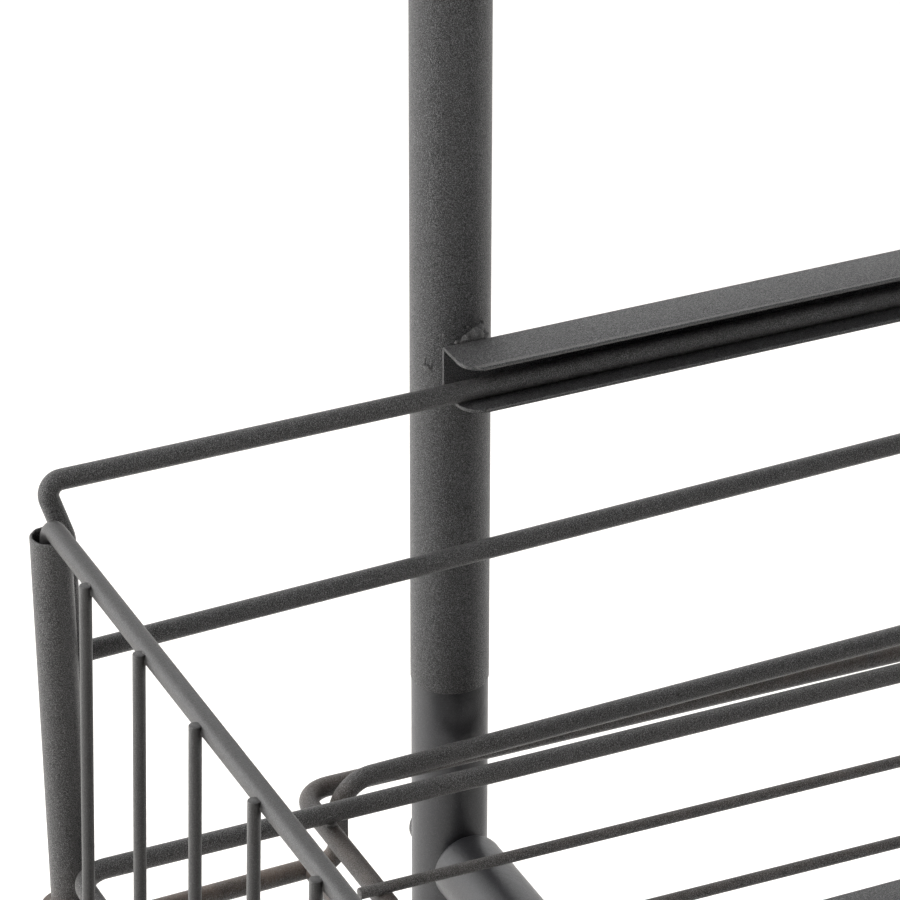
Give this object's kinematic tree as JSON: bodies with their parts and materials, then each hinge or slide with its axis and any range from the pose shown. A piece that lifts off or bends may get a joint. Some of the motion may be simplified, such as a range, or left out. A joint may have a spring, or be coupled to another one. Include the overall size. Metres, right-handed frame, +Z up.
{
  "type": "rolling pantry cart",
  "caption": "Rolling pantry cart: black steel tube frame on swivel casters, wire basket drawers on side rails, and a wire shelf between the hoop handles.",
  "frame": {"origin": "on the floor, under the middle of the cart's outer box with the upper basket pulled out as at rest", "axes": "+Z up, +X to the right seen from the front, +Y to the back; the baskets pull out towards -Y"},
  "size_m": [0.4326, 0.5323, 0.985],
  "materials": {
    "frame_black": "fine-textured satin powder coat, charcoal black",
    "wire_black": "fine-textured powder coat, charcoal black",
    "wheel_grey": "matte grey tread",
    "plug_black": "moulded, fine grain",
    "pedal_black": "moulded, fine grain",
    "steel": "zinc plated"
  },
  "bodies": {
    "cart_frame": {"hoop_left": "frame_black", "rail_upper_left": "frame_black", "rail_lower_left": "frame_black", "leg_front_left": "frame_black", "leg_plug_front_left": "plug_black", "cross_tube_bolt_front_left": "frame_black", "leg_back_left": "frame_black", "leg_plug_back_left": "plug_black", "cross_tube_bolt_back_left": "frame_black", "hoop_right": "frame_black", "rail_upper_right": "frame_black", "rail_lower_right": "frame_black", "leg_front_right": "frame_black", "leg_plug_front_right": "plug_black", "cross_tube_bolt_front_right": "frame_black", "leg_back_right": "frame_black", "leg_plug_back_right": "plug_black", "cross_tube_bolt_back_right": "frame_black", "cross_tube_low_front": "frame_black", "cross_tube_middle_front": "frame_black", "cross_tube_top_front": "frame_black", "cross_tube_low_back": "frame_black", "cross_tube_middle_back": "frame_black", "cross_tube_top_back": "frame_black", "top_shelf": "wire_black"},
    "upper_basket": {"upper_basket_main_rod": "wire_black", "upper_basket_mid_rod": "wire_black", "upper_basket_floor_ring": "wire_black", "upper_basket_floor_grid": "wire_black", "upper_basket_front_grille": "wire_black", "upper_basket_corner_sleeve_left": "wire_black", "upper_basket_corner_sleeve_right": "wire_black"},
    "lower_basket": {"lower_basket_main_rod": "wire_black", "lower_basket_mid_rod": "wire_black", "lower_basket_floor_ring": "wire_black", "lower_basket_floor_grid": "wire_black", "lower_basket_front_grille": "wire_black", "lower_basket_corner_sleeve_left": "wire_black", "lower_basket_corner_sleeve_right": "wire_black"},
    "caster_front_left": {"caster_stem_front_left": "steel", "caster_fork_front_left": "steel", "caster_axle_front_left": "steel"},
    "wheel_front_left": {"caster_wheel_front_left": "wheel_grey"},
    "brake_front_left": {"brake_pedal_front_left": "pedal_black"},
    "caster_front_right": {"caster_stem_front_right": "steel", "caster_fork_front_right": "steel", "caster_axle_front_right": "steel"},
    "wheel_front_right": {"caster_wheel_front_right": "wheel_grey"},
    "brake_front_right": {"brake_pedal_front_right": "pedal_black"},
    "caster_back_left": {"caster_stem_back_left": "steel", "caster_fork_back_left": "steel", "caster_axle_back_left": "steel"},
    "wheel_back_left": {"caster_wheel_back_left": "wheel_grey"},
    "caster_back_right": {"caster_stem_back_right": "steel", "caster_fork_back_right": "steel", "caster_axle_back_right": "steel"},
    "wheel_back_right": {"caster_wheel_back_right": "wheel_grey"}
  },
  "joints": [
    {"name": "upper_basket_slide", "type": "slide", "parent": "cart_frame", "child": "upper_basket", "axis": [0, -1, 0], "range_m": [-0.1254, 0.08]},
    {"name": "lower_basket_slide", "type": "slide", "parent": "cart_frame", "child": "lower_basket", "axis": [0, -1, 0], "range_m": [0, 0.2054]},
    {"name": "caster_swivel_front_left", "type": "hinge", "parent": "cart_frame", "child": "caster_front_left", "pos_m": [-0.2, -0.1089, 0.06], "axis": [0, 0, 1], "continuous": true},
    {"name": "wheel_spin_front_left", "type": "hinge", "parent": "caster_front_left", "child": "wheel_front_left", "pos_m": [-0.2, -0.0889, 0.025], "axis": [1, 0, 0], "continuous": true},
    {"name": "brake_press_front_left", "type": "hinge", "parent": "caster_front_left", "child": "brake_front_left", "pos_m": [-0.2, -0.0779, 0.0505], "axis": [-1, 0, 0], "range_deg": [0, 16]},
    {"name": "caster_swivel_front_right", "type": "hinge", "parent": "cart_frame", "child": "caster_front_right", "pos_m": [0.2, -0.1089, 0.06], "axis": [0, 0, 1], "continuous": true},
    {"name": "wheel_spin_front_right", "type": "hinge", "parent": "caster_front_right", "child": "wheel_front_right", "pos_m": [0.2, -0.0889, 0.025], "axis": [1, 0, 0], "continuous": true},
    {"name": "brake_press_front_right", "type": "hinge", "parent": "caster_front_right", "child": "brake_front_right", "pos_m": [0.2, -0.0779, 0.0505], "axis": [-1, 0, 0], "range_deg": [0, 16]},
    {"name": "caster_swivel_back_left", "type": "hinge", "parent": "cart_frame", "child": "caster_back_left", "pos_m": [-0.2, 0.2211, 0.06], "axis": [0, 0, 1], "continuous": true},
    {"name": "wheel_spin_back_left", "type": "hinge", "parent": "caster_back_left", "child": "wheel_back_left", "pos_m": [-0.2, 0.2411, 0.025], "axis": [1, 0, 0], "continuous": true},
    {"name": "caster_swivel_back_right", "type": "hinge", "parent": "cart_frame", "child": "caster_back_right", "pos_m": [0.2, 0.2211, 0.06], "axis": [0, 0, 1], "continuous": true},
    {"name": "wheel_spin_back_right", "type": "hinge", "parent": "caster_back_right", "child": "wheel_back_right", "pos_m": [0.2, 0.2411, 0.025], "axis": [1, 0, 0], "continuous": true}
  ]
}
